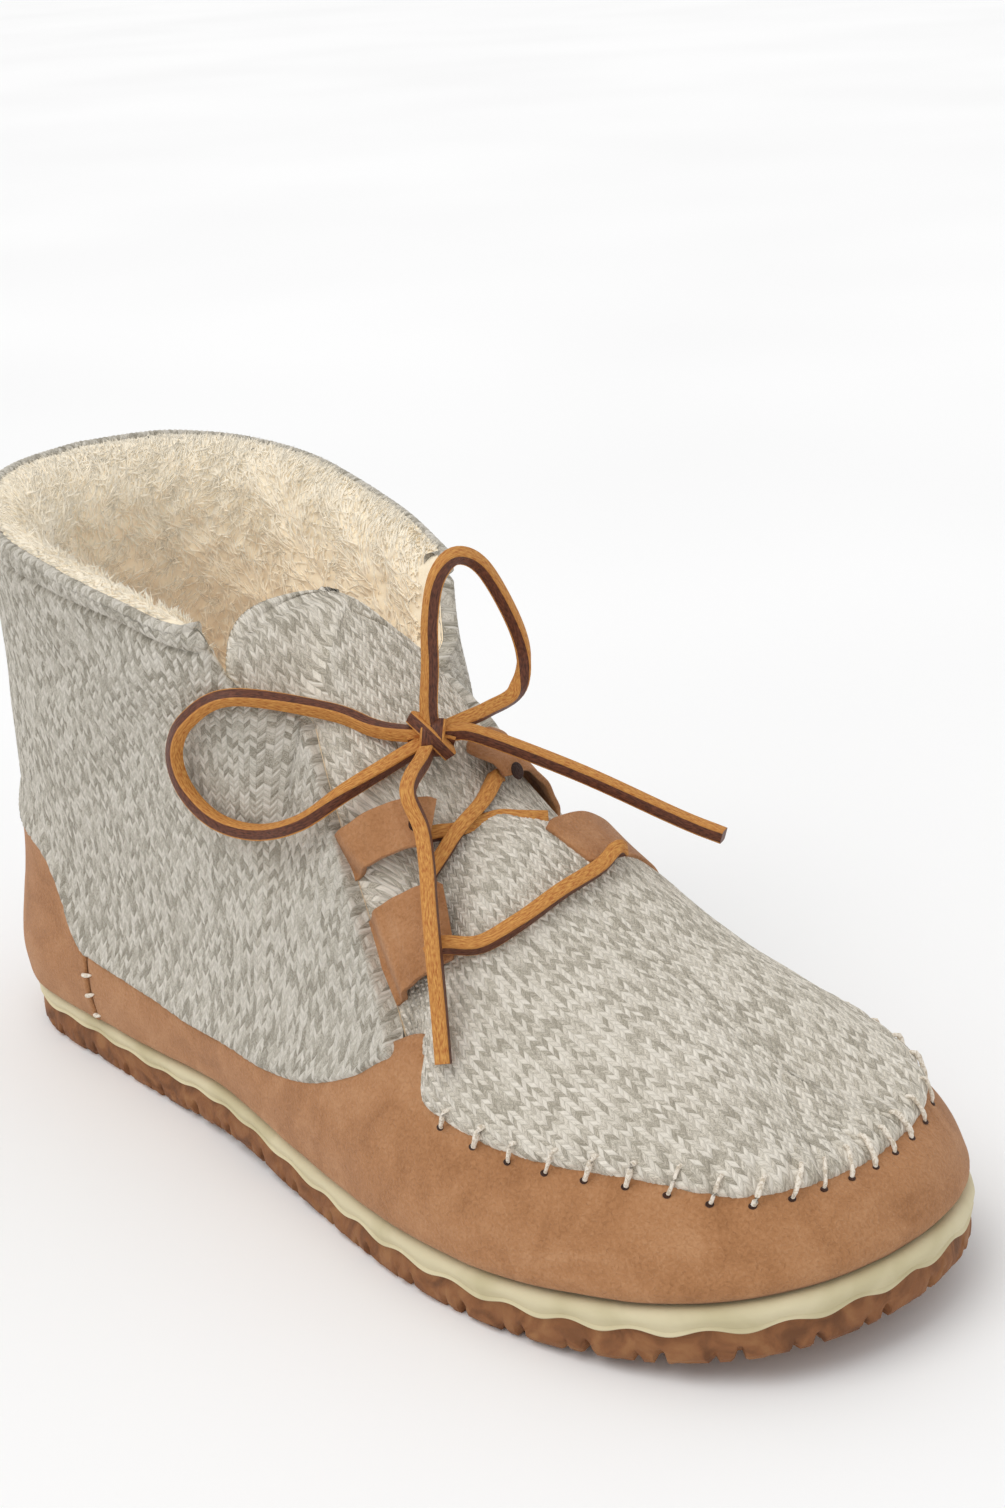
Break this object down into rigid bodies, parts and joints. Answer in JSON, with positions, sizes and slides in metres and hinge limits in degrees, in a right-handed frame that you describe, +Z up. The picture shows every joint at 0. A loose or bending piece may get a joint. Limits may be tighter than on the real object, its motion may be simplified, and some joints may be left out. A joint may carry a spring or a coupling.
{
  "type": "moccasin toe ankle boot",
  "caption": "Pull-on ankle boot for the right foot: hollow knit upper, suede mudguard and heel counter, raised toe apron, laced tongue and flat lugged sole.",
  "frame": {"origin": "on the floor, under the middle of the boot's box without the bow", "axes": "+X from heel to toe, +Y to the wearer's left, which is the inner side of this right boot, +Z up"},
  "size_m": [0.2683, 0.0997, 0.1392],
  "materials": {
    "rubber": "matt brown rubber",
    "midsole_foam": "smooth cream foam rubber",
    "pile": "cream deep pile",
    "knit": "oatmeal and grey marled wool knit",
    "suede": "tan suede",
    "lace": "square cut tan leather lace"
  },
  "bodies": {
    "root": {"outsole": "rubber", "midsole": "midsole_foam", "insole": "pile", "upper": "knit", "collar_binding": "knit", "plug": "knit", "tongue": "knit", "mudguard": "suede", "heel_counter": "suede", "eye_tab_outer_upper": "suede", "eye_tab_outer_lower": "suede", "eye_tab_inner_upper": "suede", "eye_tab_inner_lower": "suede", "lace_bar": "lace", "lace_crossing": "lace", "lace_knot": "lace", "lace_loop_outer": "lace", "lace_loop_upper": "lace", "lace_end_outer": "lace", "lace_end_inner": "lace"}
  },
  "joints": []
}
